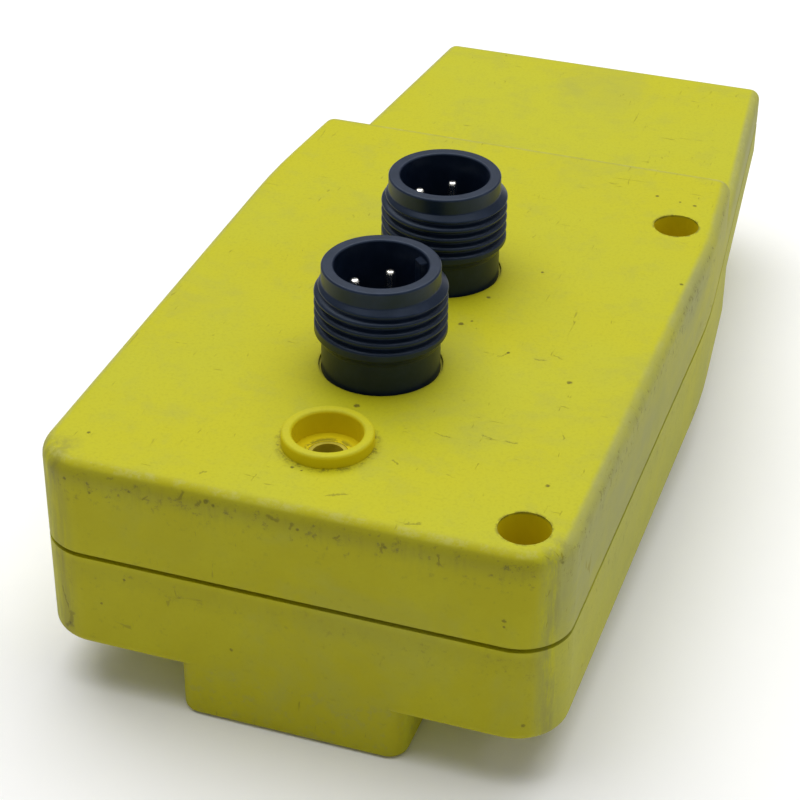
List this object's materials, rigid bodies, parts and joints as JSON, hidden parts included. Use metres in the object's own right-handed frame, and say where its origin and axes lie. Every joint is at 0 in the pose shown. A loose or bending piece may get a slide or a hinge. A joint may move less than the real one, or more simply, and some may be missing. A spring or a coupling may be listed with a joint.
{
  "type": "retroreflective photoelectric sensor",
  "caption": "Long tapered photoelectric sensor in a split moulded housing, with round plug connectors on its rear, an adjuster in a ring boss and a windowed optics head.",
  "frame": {"origin": "under the middle of the housing's length and width, at the level of the optics head's front face, on which the part rests", "axes": "+Z towards the rear side with the connectors, +Y towards the tapered tail, +X towards the side with the mounting holes"},
  "size_m": [0.0476, 0.1046, 0.0348],
  "materials": {
    "housing_plastic": "moulded, satin, safety yellow, worn",
    "seal_rubber": "soft black rubber",
    "screw_steel": "zinc plated",
    "clamp_steel": "stamped sheet",
    "connector_plastic": "moulded, satin black",
    "carrier_plastic": "moulded black",
    "contact_metal": "bright plated",
    "board_laminate": "green solder resist",
    "component_black": "moulded component body",
    "capacitor_metal": "drawn can",
    "sleeve_plastic": "moulded pale yellow",
    "trimmer_plastic": "moulded olive",
    "rotor_brass": "dull brass",
    "holder_plastic": "matt black, stops stray light",
    "lens_clear": "clear moulded lens",
    "polariser_film": "grey polarising film",
    "window_clear": "clear moulded plate",
    "led_clear": "clear epoxy",
    "photodiode_dark": "dark epoxy"
  },
  "bodies": {
    "sensor_body": {"rear_cover": "housing_plastic", "front_housing": "housing_plastic", "housing_seal": "seal_rubber", "housing_screws": "screw_steel", "board_screws": "screw_steel", "clamp_screws": "screw_steel", "connector_clamp": "clamp_steel", "connector_shell_1": "connector_plastic", "connector_shell_2": "connector_plastic", "contact_insert_1": "carrier_plastic", "contact_insert_2": "carrier_plastic", "contact_pins_1": "contact_metal", "contact_pins_2": "contact_metal", "connector_oring_1": "seal_rubber", "connector_oring_2": "seal_rubber", "main_board": "board_laminate", "optics_board": "board_laminate", "controller_chip": "component_black", "power_inductor": "component_black", "output_transistors": "component_black", "capacitors": "capacitor_metal", "board_header": "component_black", "adjuster_sleeve": "sleeve_plastic", "trimmer_body": "trimmer_plastic", "optics_holder": "holder_plastic", "emitter_lens": "lens_clear", "receiver_lens": "lens_clear", "emitter_polariser": "polariser_film", "receiver_polariser": "polariser_film", "front_window": "window_clear", "window_seal": "seal_rubber", "emitter_led": "led_clear", "receiver_photodiode": "photodiode_dark", "indicator_led": "led_clear", "indicator_light_pipe": "lens_clear"},
    "adjuster": {"trimmer_rotor": "rotor_brass"}
  },
  "joints": [
    {"name": "adjuster_turn", "type": "hinge", "parent": "sensor_body", "child": "adjuster", "pos_m": [0, -0.0419, 0.0196], "axis": [0, 0, 1], "range_deg": [-135, 135]}
  ]
}
